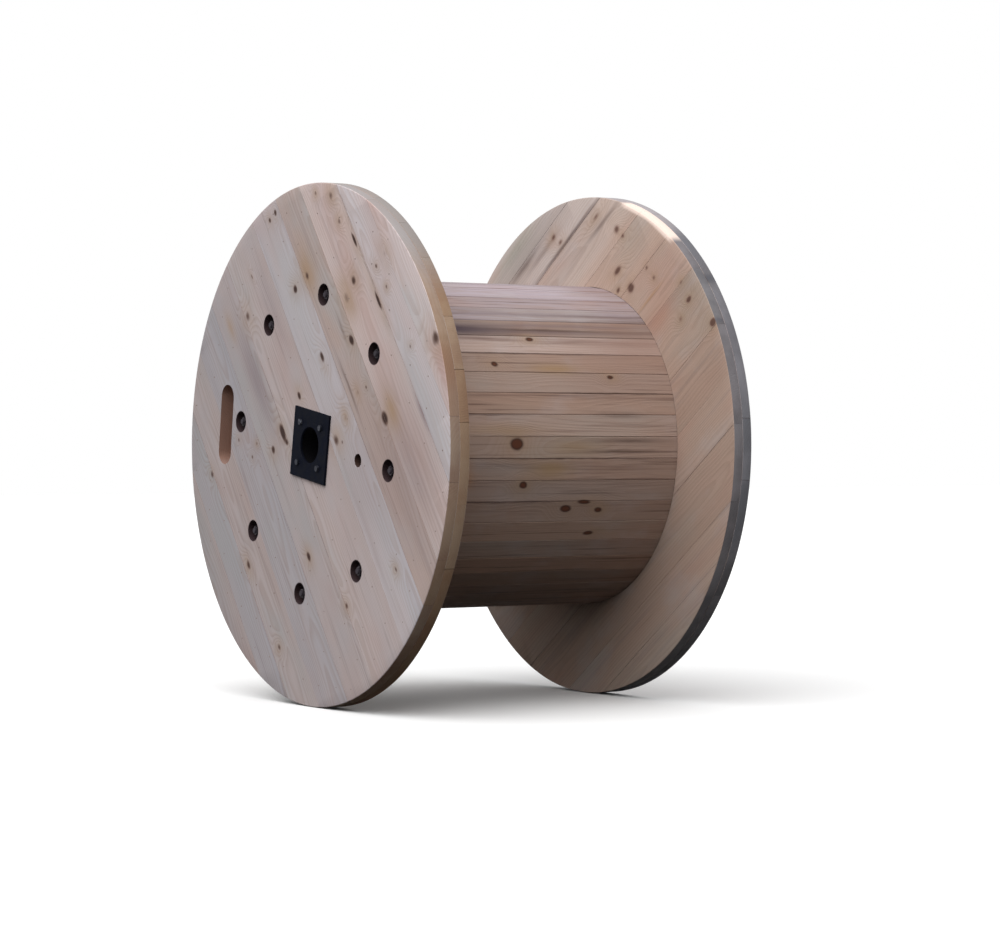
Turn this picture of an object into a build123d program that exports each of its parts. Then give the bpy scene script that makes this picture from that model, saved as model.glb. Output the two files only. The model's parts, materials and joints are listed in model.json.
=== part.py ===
from build123d import *
import os
from itertools import cycle, pairwise
from math import cos, radians, sin, tan

# Wooden cable drum lying on the rims of its two flanges, in millimetres.
# The drum's axis lies along X and the floor is at Z = 0.
# Each flange is two plies of boards, crossed at right angles and cut to one disc.
# The barrel is a ring of staves seated in grooves in the flanges, and tie rods clamp it all together.

# Flanges
flange_diameter = 1800.0
ply_thickness = 38.0
board_gap = 1.5            # open joint between two boards of one ply
outer_board_angle = -45.0  # run of the outer boards, seen from the left end
smallest_board = 60.0      # a strip left narrower than this at the rim stays on the board beside it

# How the boards of a ply are laid: the joint nearest above the middle, then the sawn widths in the
# order in which they follow it upwards and downwards
outer_layout = {
    "first_joint": 114.0,
    "widths_above": (180.0, 156.0, 204.0, 126.0, 150.0),
    "widths_below": (240.0, 174.0, 180.0, 170.0, 130.0, 150.0),
}
inner_layout = {
    "first_joint": 112.0,
    "widths_above": (180.0, 174.0, 199.0, 120.0, 150.0),
    "widths_below": (240.0, 180.0, 156.0, 204.0, 126.0, 150.0),
}

# Barrel
clear_width = 1058.0       # between the flanges
barrel_diameter = 1150.0   # across the outer corners of the staves
stave_count = 48
stave_thickness = 38.0
stave_gap = 1.2
stave_chamfer = 2.5
first_stave_angle = 1.0
groove_depth = 14.0
groove_clearance = 0.3

# Tie rods, with a washer and a nut sunk into each flange
rod_count = 8
rod_diameter = 20.0
rod_to_staves = 6.0        # between a rod and the inside of the barrel
rod_hole_clearance = 1.0
recess_diameter = 74.0
recess_depth = 30.0
washer_diameter = 64.0
washer_thickness = 5.0
nut_across_flats = 30.0
nut_height = 16.0
thread_clearance = 0.1
rod_end_past_nut = 6.0

# Steel centre plates that carry the spindle
plate_side = 240.0
plate_thickness = 8.0
bore_diameter = 125.0
wood_bore_clearance = 3.5
screw_spacing = 140.0
screw_diameter = 12.0
screw_length = 44.0        # under the head, through the plate and into the outer ply
screw_head_across_flats = 19.0
screw_head_height = 8.0
screw_clearance = 0.2

# Slot for the cable's inner end, in the left flange, and the hole for a drive pin, in both
slot_length = 287.0
slot_width = 93.0
slot_to_barrel = 8.5
slot_angle = 182.5
drive_hole_diameter = 45.0
drive_hole_radius = 320.0

# Sides of the small rounds that repeat: rods, screw shanks and their holes, and the washers' outsides
small_round_sides = 8
washer_sides = 12

# How far the drum has rolled, seen from the left end, since its plates stood square to the floor
roll_angle = -9.3

# Worked-out sizes. The pieces are made about an axis along local Z that points out of the left flange.
flange_radius = flange_diameter / 2
flange_thickness = 2 * ply_thickness
inner_face = clear_width / 2
ply_joint = inner_face + ply_thickness
outer_face = inner_face + flange_thickness
recess_floor = outer_face - recess_depth
nut_seat = recess_floor + washer_thickness
rod_end = nut_seat + nut_height + rod_end_past_nut
half_stave_angle = radians(180 / stave_count)
stave_outer_apothem = barrel_diameter / 2 * cos(half_stave_angle)
stave_inner_apothem = stave_outer_apothem - stave_thickness
rod_circle_radius = stave_inner_apothem - rod_to_staves - rod_diameter / 2
slot_centre_radius = barrel_diameter / 2 + slot_to_barrel + slot_width / 2

drum_frame = Plane(
    origin=(0, 0, flange_radius),
    x_dir=(0, -cos(radians(roll_angle)), sin(radians(roll_angle))),
    z_dir=(-1, 0, 0),
)
rod_places = PolarLocations(rod_circle_radius, rod_count)
screw_places = GridLocations(screw_spacing, screw_spacing, 2, 2)
drive_place = Pos(drive_hole_radius, 0, 0)


def small_round(diameter):
    return RegularPolygon(diameter / 2, small_round_sides)


def joints_on_one_side(first_joint, widths, direction):
    """Joints between boards from first_joint out towards the rim, laid in the order of widths."""
    joints = []
    joint = first_joint
    for width in cycle(widths):
        joint += direction * width
        if abs(joint) > flange_radius - smallest_board:
            return joints
        joints.append(joint)


def ply_boards(layout, board_angle, low_face):
    """One ply: parallel boards, cut to the disc."""
    first_joint = layout["first_joint"]
    above = joints_on_one_side(first_joint, layout["widths_above"], 1)
    below = joints_on_one_side(first_joint, layout["widths_below"], -1)
    past_rim = flange_radius + board_gap
    edges = [-past_rim, *reversed(below), first_joint, *above, past_rim]
    boards = []
    for low, high in pairwise(edges):
        strip = Pos(0, (low + high) / 2) * Rectangle(flange_diameter, high - low - board_gap)
        outline = Circle(flange_radius) & Rot(0, 0, board_angle) * strip
        boards.append(Pos(0, 0, low_face) * extrude(outline, ply_thickness))
    return boards


def through_holes(side):
    """Holes through both plies of the flange on one side: bore, rods and drive pin."""
    rod_hole = small_round(rod_diameter + 2 * rod_hole_clearance)
    outlines = [Circle(bore_diameter / 2 + wood_bore_clearance)]
    outlines += [place * rod_hole for place in rod_places]
    outlines.append(drive_place * Circle(drive_hole_diameter / 2))
    holes = [extrude(outline, flange_thickness, both=True) for outline in outlines]
    return [Pos(0, 0, side * ply_joint) * hole for hole in holes]


def screw_holes(side):
    """Holes through the outer ply for the plate's screws."""
    hole = extrude(small_round(screw_diameter + 2 * screw_clearance), ply_thickness, both=True)
    return [Pos(0, 0, side * outer_face) * place * hole for place in screw_places]


def cable_slot():
    """The round-ended slot beside the barrel, through the left flange."""
    outline = Rot(0, 0, slot_angle) * Pos(slot_centre_radius, 0) * SlotOverall(
        slot_length, slot_width, rotation=90)
    return Pos(0, 0, ply_joint) * extrude(outline, flange_thickness, both=True)


def rod_recesses(side):
    """Round recesses in the outer face for the rods' washers and nuts."""
    recess = Cylinder(recess_diameter / 2, 2 * recess_depth)
    return [Pos(0, 0, side * outer_face) * place * recess for place in rod_places]


def stave_groove(side):
    """Ring groove in the inner face that the ends of the staves sit in."""
    ring = Circle(barrel_diameter / 2 + groove_clearance) - Circle(stave_inner_apothem - groove_clearance)
    return Pos(0, 0, side * inner_face) * extrude(ring, groove_depth, both=True)


def cut(boards, cutters):
    return [board - cutters for board in boards]


def flange(side):
    """The outer and the inner ply of one flange; side is 1 for the left and -1 for the right."""
    holes = through_holes(side)
    if side > 0:
        holes.append(cable_slot())
    outer_low = ply_joint if side > 0 else -outer_face
    inner_low = inner_face if side > 0 else -ply_joint
    outer = ply_boards(outer_layout, outer_board_angle, outer_low)
    inner = ply_boards(inner_layout, outer_board_angle + 90, inner_low)
    outer = cut(outer, holes + rod_recesses(side) + screw_holes(side))
    inner = cut(inner, holes + [stave_groove(side)])
    return outer, inner


def staves():
    """Flat staves with radial sides, standing in a ring from one groove's floor to the other's."""
    def half_width(apothem):
        return apothem * tan(half_stave_angle) - stave_gap / 2 / cos(half_stave_angle)

    outer = half_width(stave_outer_apothem)
    inner = half_width(stave_inner_apothem)
    profile = Polygon(
        (stave_inner_apothem, -inner),
        (stave_outer_apothem, -outer),
        (stave_outer_apothem, outer),
        (stave_inner_apothem, inner),
        align=None,
    )
    profile = chamfer(profile.vertices().group_by(Axis.X)[-1], stave_chamfer)
    stave = extrude(profile, inner_face + groove_depth, both=True)
    pitch = 360 / stave_count
    return [Rot(0, 0, first_stave_angle + pitch * k) * stave for k in range(stave_count)]


def tie_rods():
    rod = extrude(small_round(rod_diameter), rod_end, both=True)
    return [place * rod for place in rod_places]


def washers(side):
    outside = RegularPolygon(washer_diameter / 2, washer_sides)
    ring = outside - small_round(rod_diameter + 2 * rod_hole_clearance)
    washer = Pos(0, 0, side * recess_floor) * extrude(ring, side * washer_thickness)
    return [place * washer for place in rod_places]


def nuts(side):
    hexagon = RegularPolygon(nut_across_flats / 2, 6, major_radius=False)
    ring = hexagon - small_round(rod_diameter + 2 * thread_clearance)
    nut = Pos(0, 0, side * nut_seat) * extrude(ring, side * nut_height)
    return [place * nut for place in rod_places]


def centre_plate(side):
    outline = Rectangle(plate_side, plate_side) - Circle(bore_diameter / 2)
    outline -= screw_places * small_round(screw_diameter + 2 * screw_clearance)
    return Pos(0, 0, side * outer_face) * extrude(outline, side * plate_thickness)


def plate_screws(side):
    """Hex-headed coach screws, one towards each corner of the plate."""
    hexagon = RegularPolygon(screw_head_across_flats / 2, 6, major_radius=False)
    head = extrude(hexagon, side * screw_head_height)
    shank = extrude(small_round(screw_diameter), -side * screw_length)
    screw = Pos(0, 0, side * (outer_face + plate_thickness)) * (head + shank)
    return [place * screw for place in screw_places]


def write(node, pieces):
    """Writes the pieces of one node, turned into the drum's lying position."""
    solids = [solid for piece in pieces for solid in piece.solids()]
    export_step(drum_frame.location * Compound(solids), f"parts/{node}.step")


os.makedirs("parts", exist_ok=True)
for name, side in (("left", 1), ("right", -1)):
    outer_boards, inner_boards = flange(side)
    write(f"{name}_flange_outer_boards", outer_boards)
    write(f"{name}_flange_inner_boards", inner_boards)
    write(f"{name}_centre_plate", [centre_plate(side)])
    write(f"{name}_plate_screws", plate_screws(side))
    write(f"{name}_washers", washers(side))
    write(f"{name}_nuts", nuts(side))
write("barrel_staves", staves())
for number, rod in enumerate(tie_rods(), start=1):
    write(f"tie_rod_{number}", [rod])
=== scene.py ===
import json
import math
import random

import bmesh
import bpy
from mathutils import Matrix, Vector, noise


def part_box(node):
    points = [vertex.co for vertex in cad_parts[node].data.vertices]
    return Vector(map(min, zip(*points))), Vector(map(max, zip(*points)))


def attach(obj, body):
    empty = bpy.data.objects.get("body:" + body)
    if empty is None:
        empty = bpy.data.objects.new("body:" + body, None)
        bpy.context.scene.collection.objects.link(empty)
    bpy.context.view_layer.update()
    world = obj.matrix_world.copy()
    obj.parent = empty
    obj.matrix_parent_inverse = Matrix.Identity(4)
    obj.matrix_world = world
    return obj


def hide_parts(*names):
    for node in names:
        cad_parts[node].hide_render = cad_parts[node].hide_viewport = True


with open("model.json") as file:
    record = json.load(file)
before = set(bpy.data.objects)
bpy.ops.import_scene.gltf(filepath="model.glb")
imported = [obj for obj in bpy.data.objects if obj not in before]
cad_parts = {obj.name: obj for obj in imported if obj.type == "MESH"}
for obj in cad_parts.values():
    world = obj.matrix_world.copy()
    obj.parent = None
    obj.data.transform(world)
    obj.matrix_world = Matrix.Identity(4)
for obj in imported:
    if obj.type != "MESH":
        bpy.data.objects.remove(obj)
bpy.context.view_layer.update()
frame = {"nodes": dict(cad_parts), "record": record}
scene = bpy.context.scene
scene.view_settings.view_transform = "Standard"

# The drum's own space: z points out of the left flange, x and y lie in the flange, turned with the drum
mounts = {mount["name"]: mount for mount in frame["record"]["mounts"]}
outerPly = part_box("left_flange_outer_boards")
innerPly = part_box("left_flange_inner_boards")
drum = {
    "radius": (outerPly[1][2] - outerPly[0][2]) / 2,
    "axisHeight": mounts["spindle_bore_left"]["pos_m"][2],
    "outerFace": -outerPly[0][0],
    "plyJoint": -innerPly[0][0],
    "innerFace": -innerPly[1][0],
    "outerBoardAngle": math.radians(-45),
    "innerBoardAngle": math.radians(45),
}
drivePin = Vector(mounts["drive_hole_left"]["pos_m"]) - Vector((0, 0, drum["axisHeight"]))
drivePinRadius = math.hypot(drivePin.y, drivePin.z)
rollCos = -drivePin.y / drivePinRadius
rollSin = drivePin.z / drivePinRadius
drumToRow = Matrix((
    (0, 0, -1, 0),
    (-rollCos, rollSin, 0, 0),
    (rollSin, rollCos, 0, drum["axisHeight"]),
    (0, 0, 0, 1),
))
rowToDrum = drumToRow.inverted()
endForEnd = Matrix.Rotation(math.pi, 4, "X")  # takes the left end's fittings to the right end


# Node wiring: a Flow is what one socket gives out, so that sums of sockets are written as sums

class Flow:
    def __init__(self, socket):
        self.socket = socket
        self.tree = socket.id_data

    def __add__(self, other):
        return maths("ADD", self, other)

    def __sub__(self, other):
        return maths("SUBTRACT", self, other)

    def __mul__(self, other):
        return maths("MULTIPLY", self, other)

    def __truediv__(self, other):
        return maths("DIVIDE", self, other)


def wire(tree, kind, inputs=None, take=0, **settings):
    # adds a node with its inputs set or linked, and gives the output that is asked for, or several
    made = tree.nodes.new(kind)
    for name, value in settings.items():
        setattr(made, name, value)
    for name, value in (inputs or {}).items():
        if isinstance(value, Flow):
            tree.links.new(value.socket, made.inputs[name])
        else:
            made.inputs[name].default_value = value
    if isinstance(take, tuple):
        return [Flow(made.outputs[name]) for name in take]
    return Flow(made.outputs[take]) if made.outputs else None


def maths(operation, *values, **settings):
    flows = [value for value in values if isinstance(value, Flow)]
    onVectors = any(flow.socket.type == "VECTOR" for flow in flows)
    kind = "ShaderNodeVectorMath" if onVectors else "ShaderNodeMath"
    return wire(flows[0].tree, kind, dict(enumerate(values)), operation=operation, **settings)


def distance(a, b):
    return maths("SQRT", a * a + b * b)


def vector(x=0.0, y=0.0, z=0.0):
    tree = next(value.tree for value in (x, y, z) if isinstance(value, Flow))
    return wire(tree, "ShaderNodeCombineXYZ", {0: x, 1: y, 2: z})


def split(flow):
    return wire(flow.tree, "ShaderNodeSeparateXYZ", {0: flow}, (0, 1, 2))


def eased(value, low, high, toLow=0.0, toHigh=1.0):
    inputs = {"Value": value, "From Min": low, "From Max": high, "To Min": toLow, "To Max": toHigh}
    return wire(value.tree, "ShaderNodeMapRange", inputs, interpolation_type="SMOOTHSTEP")


def shade(red, green, blue):
    # a colour as it looks on screen, 0 to 255, as the shaders take it
    def linear(value):
        value /= 255
        return value / 12.92 if value <= 0.04045 else ((value + 0.055) / 1.055) ** 2.4
    return (linear(red), linear(green), linear(blue), 1.0)


def mixed(share, a, b, blend="MIX"):
    tree = share.tree if isinstance(share, Flow) else a.tree
    a, b = [shade(*value) if isinstance(value, tuple) else value for value in (a, b)]
    return wire(tree, "ShaderNodeMix", {0: share, 6: a, 7: b}, 2, data_type="RGBA", blend_type=blend)


def ramp(value, stops):
    made = wire(value.tree, "ShaderNodeValToRGB", {0: value})
    elements = made.socket.node.color_ramp.elements
    while len(elements) < len(stops):
        elements.new(0.5)
    for element, (place, colour) in zip(elements, stops):
        element.position = place
        element.color = shade(*colour)
    return made


def grain(place, detail, roughness=0.55):
    inputs = {"Vector": place, "Scale": 1.0, "Detail": detail, "Roughness": roughness}
    return wire(place.tree, "ShaderNodeTexNoise", inputs)


def nodeGroup(name, kind, inputs, outputs):
    # a tree with named sockets, and what its inputs give
    tree = bpy.data.node_groups.new(name, kind)
    for direction, sockets in (("OUTPUT", outputs), ("INPUT", inputs)):
        for label, what in sockets.items():
            tree.interface.new_socket(label, in_out=direction, socket_type="NodeSocket" + what)
    given = tree.nodes.new("NodeGroupInput").outputs
    return tree, {label: Flow(given[label]) for label in inputs}


def newMaterial(name):
    material = bpy.data.materials.new(name)
    material.use_nodes = True
    return material


def dressed(material, colour, roughness, height, bump, constants):
    # joins a finish to its shader; what is the same all over is set on the shader itself
    tree = material.node_tree
    shader = tree.nodes["Principled BSDF"]
    strength, depth = bump
    normal = wire(tree, "ShaderNodeBump", {"Height": height, "Strength": strength, "Distance": depth})
    for name, flow in (("Base Color", colour), ("Roughness", roughness), ("Normal", normal)):
        tree.links.new(flow.socket, shader.inputs[name])
    for name, value in constants.items():
        shader.inputs[name].default_value = value
    return material


# Wood

figures = {  # repeats a metre along, across and through a board, then detail and roughness
    "ripple": ((15, 28, 28), 1.0),
    "wander": ((1.3, 5, 5), 2.0),
    "fibre": ((5, 330, 330), 2.0),
    "streak": ((0.8, 26, 26), 4.0, 0.6),
    "line": ((1.6, 85, 85), 3.0, 0.6),
    "band": ((0.5, 7, 7), 2.0),
    "cloud": ((4, 6, 6), 4.0),
    "patch": ((1.7, 3.6, 3.6), 3.0),
}
pine = {
    "toneShift": (83.0, 47.0, 29.0),    # a board's tone moves its figure, so that no two are alike
    "strayShift": (91.0, 57.0, 0.0),
    "strayCells": (1.5, 3.4, 0.0),      # stray knots a metre, along and across
    "strayLeast": 0.022,
    "strayRange": 0.028,
    "knotUneven": (0.012, -0.6),        # how far a knot's outline wanders along, and its share across
    "haloFall": 0.14,                   # the bent grain fades this much as fast as the knot in it
    "ringBend": 0.034,
    # what an amount eases in between, then what it eases from and to
    "lateRise": (0.25, 0.86),
    "lateFall": (0.9, 1.0, 1.0, 0.0),
    "pinkFrom": (0.5, 0.72),
    "coolFrom": (0.5, 0.3),
    "streakFrom": (0.54, 0.76),
    "lineFrom": (0.57, 0.7),
    "lineFade": (0.35, 0.6, 0.35, 1.0),
    "weatherFrom": (0.48, 0.72),
    "stainFade": (0.2, 0.7, 0.6, 1.0),
    "ochreFrom": (0.3, 0.65),
    "heartFrom": (0.45, 0.85, 0.0, 0.75),
    "wallFrom": (0.35, 0.75, 1.0, 0.0),
    "rimDarkFrom": (0.35, 0.65),
    "jointFade": (0.3, 0.66, 0.15, 1.0),
    "knotShare": 0.92,
    "knotRagged": 0.35,
    "fibreLeast": 0.89,
    "fibreRange": 0.22,
    "roughLeast": 0.72,
    "roughRange": 0.2,
    "knotPolish": 0.12,
    "ringRelief": 0.5,
    "knotRelief": 0.8,
    "streakRelief": 0.6,
    "bump": (0.5, 0.0009),
    "specular": 0.08,
}
# painted shade in the holes, the recesses and the bore, and real wear on the rim
shadeAndWear = {
    "boreReach": 0.09,       # how far from the axis the walls of the bore, the drive hole and the slot lie
    "holeReach": 0.40,
    "slotReach": 0.80,
    "wallShare": 0.85,
    "recessShare": 0.94,
    "recessOver": 0.0006,
    "recessShadeSpill": 0.008,          # widest spill of the painted shade round a recess
    "recessShadeSpillShare": 0.5,
    "wornRagged": 0.016,
    "wornFade": 0.012,
    "wornFull": 0.75,        # share of the worn stretch that is worn bare
}
boardMarks = ("boardSpace", "boardSeed", "boardEdge")  # place; pith and tone; ways to the edges and shade


def knotFall(squared):
    # how much a knot, and the grain that it bends, show at a squared distance in knot sizes
    return maths("EXPONENT", squared * -1.0), maths("EXPONENT", squared * -pine["haloFall"])


def knotGroup():
    inputs = {"space": "Vector", "place": "Vector", "reach": "Vector"}
    tree, given = nodeGroup("pineKnot", "ShaderNodeTree", inputs, {"core": "Float", "halo": "Float"})
    away = (given["space"] - given["place"]) * given["reach"]
    core, halo = knotFall(maths("DOT_PRODUCT", away, away, take="Value"))
    wire(tree, "NodeGroupOutput", {"core": core, "halo": halo})
    return tree


pineKnot = knotGroup()


def spots(space, places):
    # knots and stains placed one by one: along and across the boards, half length, half width, strength
    core, halo = 0.0, 0.0
    for along, across, halfLength, halfWidth, strength in places:
        inputs = {"space": space, "place": (along, across, 0), "reach": (1 / halfLength, 1 / halfWidth, 0)}
        near, about = wire(space.tree, "ShaderNodeGroup", inputs, ("core", "halo"), node_tree=pineKnot)
        core = near * strength + core
        halo = maths("MAXIMUM", about, halo)
    return core, halo


def strayKnots(space, tone, share):
    # smaller knots scattered over every board
    place = space * pine["strayCells"] + vector(*[tone * shift for shift in pine["strayShift"]])
    away, draw = wire(space.tree, "ShaderNodeTexVoronoi", {"Vector": place, "Scale": 1.0},
                      ("Distance", "Color"), voronoi_dimensions="2D")
    chance, size, _ = split(draw)
    near = away / (size * pine["strayRange"] + pine["strayLeast"])
    present = maths("LESS_THAN", chance, share)
    core, halo = knotFall(near * near)
    return core * present, halo * present


def flangeShadeAndWear(along, across, wall, cloud, colour, look):
    # painted shade: dark walls in the holes, the recesses and the bore painted near-black; a stretch of rim
    # worn to pale wood
    fromAxis = distance(along, across)
    bearing = maths("ARCTAN2", across, along)
    circle = holes["rodCircle"]
    folded = maths("PINGPONG", bearing, math.pi / holes["rodCount"])
    squared = fromAxis * fromAxis + circle ** 2 - maths("COSINE", folded) * (2 * circle) * fromAxis
    fromRod = maths("SQRT", maths("MAXIMUM", squared, 0.0))
    reach = holes["recess"] if look["ply"] == "outer" else holes["rod"]
    # painted shade in each recess, spilling a little past its edge
    recessShadeMask = maths("LESS_THAN", fromRod, reach + shadeAndWear["recessOver"]) * shadeAndWear["recessShare"]
    ring = eased(fromRod, reach, cloud * shadeAndWear["recessShadeSpill"] + reach, shadeAndWear["recessShadeSpillShare"], 0.0)

    def wallWithin(radius):
        return maths("LESS_THAN", fromAxis, radius) * wall

    # painted shade on the walls of the slot and the holes
    colour = mixed(wallWithin(shadeAndWear["slotReach"]) * shadeAndWear["wallShare"], colour, look["slotWallShade"])
    colour = mixed(wallWithin(shadeAndWear["holeReach"]) * shadeAndWear["wallShare"], colour, look["holeWallShade"])
    colour = mixed(maths("MAXIMUM", recessShadeMask, ring), colour, look["recess"])
    # painted shade: the walls of the bore painted near-black
    colour = mixed(wallWithin(shadeAndWear["boreReach"]), colour, look["boreShade"])
    worn = look["wornEdge"]
    if worn:
        away = maths("ABSOLUTE", bearing - (worn["middle"] - drum[look["ply"] + "BoardAngle"]))
        there = eased(away, worn["half"] * shadeAndWear["wornFull"], worn["half"], 1.0, 0.0)
        ragged = (cloud - 0.5) * shadeAndWear["wornRagged"] + worn["from"]
        rubbed = eased(fromAxis, ragged, ragged + shadeAndWear["wornFade"])
        colour = mixed(there * rubbed, colour, worn["colour"])
    return colour


def pineMaterial(name, look):
    material = newMaterial(name)
    tree = material.node_tree
    space, seed, edge = [
        wire(tree, "ShaderNodeAttribute", take="Vector", attribute_name=mark) for mark in boardMarks]
    along, across, depth = split(space)
    pithAcross, pithDepth, tone = split(seed)
    toLow, toHigh, level = split(edge)
    shift = vector(*[tone * step for step in pine["toneShift"]])
    ripple, wander, fibre, streak, line, band, cloud, patch = [
        grain(space * stretch + shift, *kind) for stretch, *kind in figures.values()]

    # knots, with their outlines a little uneven
    wobble, acrossShare = pine["knotUneven"]
    uneven = (ripple - 0.5) * wobble
    bent = space + vector(uneven, uneven * acrossShare)
    placedCore, placedHalo = spots(bent, look["knots"])
    strayCore, strayHalo = strayKnots(bent, tone, look["strayShare"])
    core = maths("ADD", placedCore, strayCore, use_clamp=True)
    halo = maths("MAXIMUM", placedHalo, strayHalo)

    # year rings round the pith; they bend round the knots
    ringRadius = distance(across - pithAcross, depth - pithDepth)
    ringRadius = ringRadius + wander * look["ringWander"] + halo * pine["ringBend"]
    ringPhase = maths("FRACT", ringRadius / look["ringWidth"])
    lateWood = eased(ringPhase, *pine["lateRise"]) * eased(ringPhase, *pine["lateFall"])

    # colour of the board, shifting in long streaks and soft patches
    colour = ramp((band - 0.5) * look["bandShift"] + tone, look["tones"])
    layers = {
        "pink": eased(patch, *pine["pinkFrom"]),
        "cool": eased(patch, *pine["coolFrom"]),
        "lateWood": lateWood,
        "streak": eased(streak, *pine["streakFrom"]),
        "line": eased(line, *pine["lineFrom"]) * eased(patch, *pine["lineFade"]),
        "weather": eased(cloud, *pine["weatherFrom"]),
    }
    for layer, amount in layers.items():
        colour = mixed(amount * look[layer + "Share"], colour, look[layer])
    # each board's brightness level; on the left face it carries painted light and shade
    spread = look["shadeSpread"]
    level = (fibre * pine["fibreRange"] + pine["fibreLeast"]) * (level * spread + (1 - spread / 2))
    colour = mixed(1.0, colour, level, "MULTIPLY")
    for stain, places in look["stains"]:
        reached = spots(bent, places)[0] * eased(streak, *pine["stainFade"])
        colour = mixed(reached, colour, stain)

    # ochre round the knots, brown cores that fade at their edges
    warm = halo * eased(cloud, *pine["ochreFrom"])
    colour = mixed(warm * look["ochreShare"], colour, look["ochre"])
    ragged = (streak - 0.5) * pine["knotRagged"] + core
    colour = mixed(eased(ragged, *look["knotEdge"], 0.0, pine["knotShare"]), colour, look["knot"])
    colour = mixed(eased(ragged, *pine["heartFrom"]), colour, look["knotHeart"])

    # sawn rims and the walls of holes; painted sky light: a rim is greyer and paler where it faces up
    endways, _, upward = split(wire(tree, "ShaderNodeNewGeometry", take="True Normal"))
    wall = eased(maths("ABSOLUTE", endways), *pine["wallFrom"])
    rim = mixed(eased(cloud, *pine["rimDarkFrom"]), look["rim"], look["rimDark"])
    rim = mixed(eased(upward, *look["rimSkyLitFrom"]), rim, look["rimSkyLit"])
    colour = mixed(wall * look["rimShare"], colour, rim)

    # dirt in the joints
    inJoint = eased(maths("MINIMUM", toLow, toHigh), 0.0, look["jointDirt"], 1.0, 0.0)
    inJoint = inJoint * eased(cloud, *pine["jointFade"])
    colour = mixed(inJoint * look["jointShare"], colour, look["joint"])
    if look["ply"]:
        colour = flangeShadeAndWear(along, across, wall, cloud, colour, look)

    roughness = fibre * pine["roughRange"] + pine["roughLeast"] - core * pine["knotPolish"]
    height = fibre + lateWood * pine["ringRelief"] + core * pine["knotRelief"]
    height = height + streak * pine["streakRelief"]
    constants = {"Specular IOR Level": pine["specular"]}
    return dressed(material, colour, roughness, height, pine["bump"], constants)


# Mesh building

def added(name, data):
    made = bpy.data.objects.new(name, data)
    scene.collection.objects.link(made)
    return made


def skin(rows, loop=True, around=False):
    # joins rows of equal point counts; a row may be a loop, the rows may go around, open ends are closed
    shape = bmesh.new()
    rows = [[shape.verts.new(point) for point in row] for row in rows]
    following = rows[1:] + rows[:1] if around else rows[1:]
    for here, beside in zip(rows, following):
        for step in range(len(here) if loop else len(here) - 1):
            after = (step + 1) % len(here)
            shape.faces.new((here[step], here[after], beside[after], beside[step]))
    if not (loop and around):
        ends = list(zip(*rows)) if around else rows
        shape.faces.new(ends[0][::-1])
        shape.faces.new(ends[-1])
    bmesh.ops.recalc_face_normals(shape, faces=shape.faces)
    return shape


def turned(profile, segments, loop=False):
    # turns (radius, height) points round z; a profile that changes with the angle is a function of it
    rows = []
    for step in range(segments):
        angle = 2 * math.pi * step / segments
        points = profile(angle) if callable(profile) else profile
        x, y = math.cos(angle), math.sin(angle)
        rows.append([(radius * x, radius * y, height) for radius, height in points])
    return skin(rows, loop, around=True)


def prism(outline, low, high):
    return skin([[(x, y, height) for x, y in outline] for height in (low, high)])


def asObject(name, shape):
    mesh = bpy.data.meshes.new(name)
    shape.to_mesh(mesh)
    shape.free()
    return added(name, mesh)


def asShape(made):
    shape = bmesh.new()
    shape.from_mesh(made.data)
    bpy.data.objects.remove(made)
    return shape


def joined(shapes):
    whole = bmesh.new()
    for shape in shapes:
        mesh = bpy.data.meshes.new("part")
        shape.to_mesh(mesh)
        shape.free()
        whole.from_mesh(mesh)
        bpy.data.meshes.remove(mesh)
    return whole


def moved(shape, place):
    bmesh.ops.translate(shape, verts=shape.verts, vec=place)
    return shape


def settle(made):
    # the modifiers' result becomes the plain mesh
    bpy.context.view_layer.update()
    evaluated = made.evaluated_get(bpy.context.evaluated_depsgraph_get())
    mesh = bpy.data.meshes.new_from_object(evaluated)
    made.modifiers.clear()
    made.data = mesh


def carve(made, shape, operation):
    tool = asObject("tool", shape)
    change = made.modifiers.new("carve", "BOOLEAN")
    change.operation = operation
    change.solver = "EXACT"
    change.object = tool
    settle(made)
    bpy.data.objects.remove(tool)


def placed(mesh, material, turn=Matrix.Identity(4)):
    # takes a mesh from the drum's space to the row's, with its finish
    mesh.transform(drumToRow @ turn)
    mesh.materials.clear()
    mesh.materials.append(material)


def finished(made, slot, *nodes, smooth=20):
    made.data.shade_smooth()
    made.data.set_sharp_from_angle(angle=math.radians(smooth))
    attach(made, "root")
    if nodes:
        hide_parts(*nodes)


# Boards of the flanges

boards = {
    "edgeRounding": 0.0006,
    "cornerSteps": 2,
    "stations": 30,
    "tightJoint": 0.0003,
    "openJoint": 0.0028,
    "openShare": 0.6,        # widest joint among those that are drawn, as a share of an open one
    "sawWander": 0.0003,     # how far a sawn edge wanders
    "sawWaves": 4,           # how often a metre
    "edgeApart": 7.3,        # keeps the wander of a board's two edges apart, and of two boards
    "boardApart": 3.7,
    "lowestFace": 0.0007,    # how far a board may lie below its neighbours
    "leastSunk": 0.1,
    "rimRounding": 0.0045,
    "jointRounding": 0.0014,
    "rimSteps": 288,
    "rimArcSteps": 3,
    "rimWear": 0.0014,
    "rimWaves": 5,
    "pastRim": 0.02,
    "holeFlare": 0.0008,
    "overcut": 0.01,         # how far a cutting shape reaches past the wood
    "pithAside": 0.03,       # where the pith of a board's tree may lie, past its edges and from its face
    "pithDepth": (0.03, 0.11),
    "crispJoint": 6.0,       # dirt keeps to a hairline in a tight joint
    "crispLoss": 5.3,
}
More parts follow.
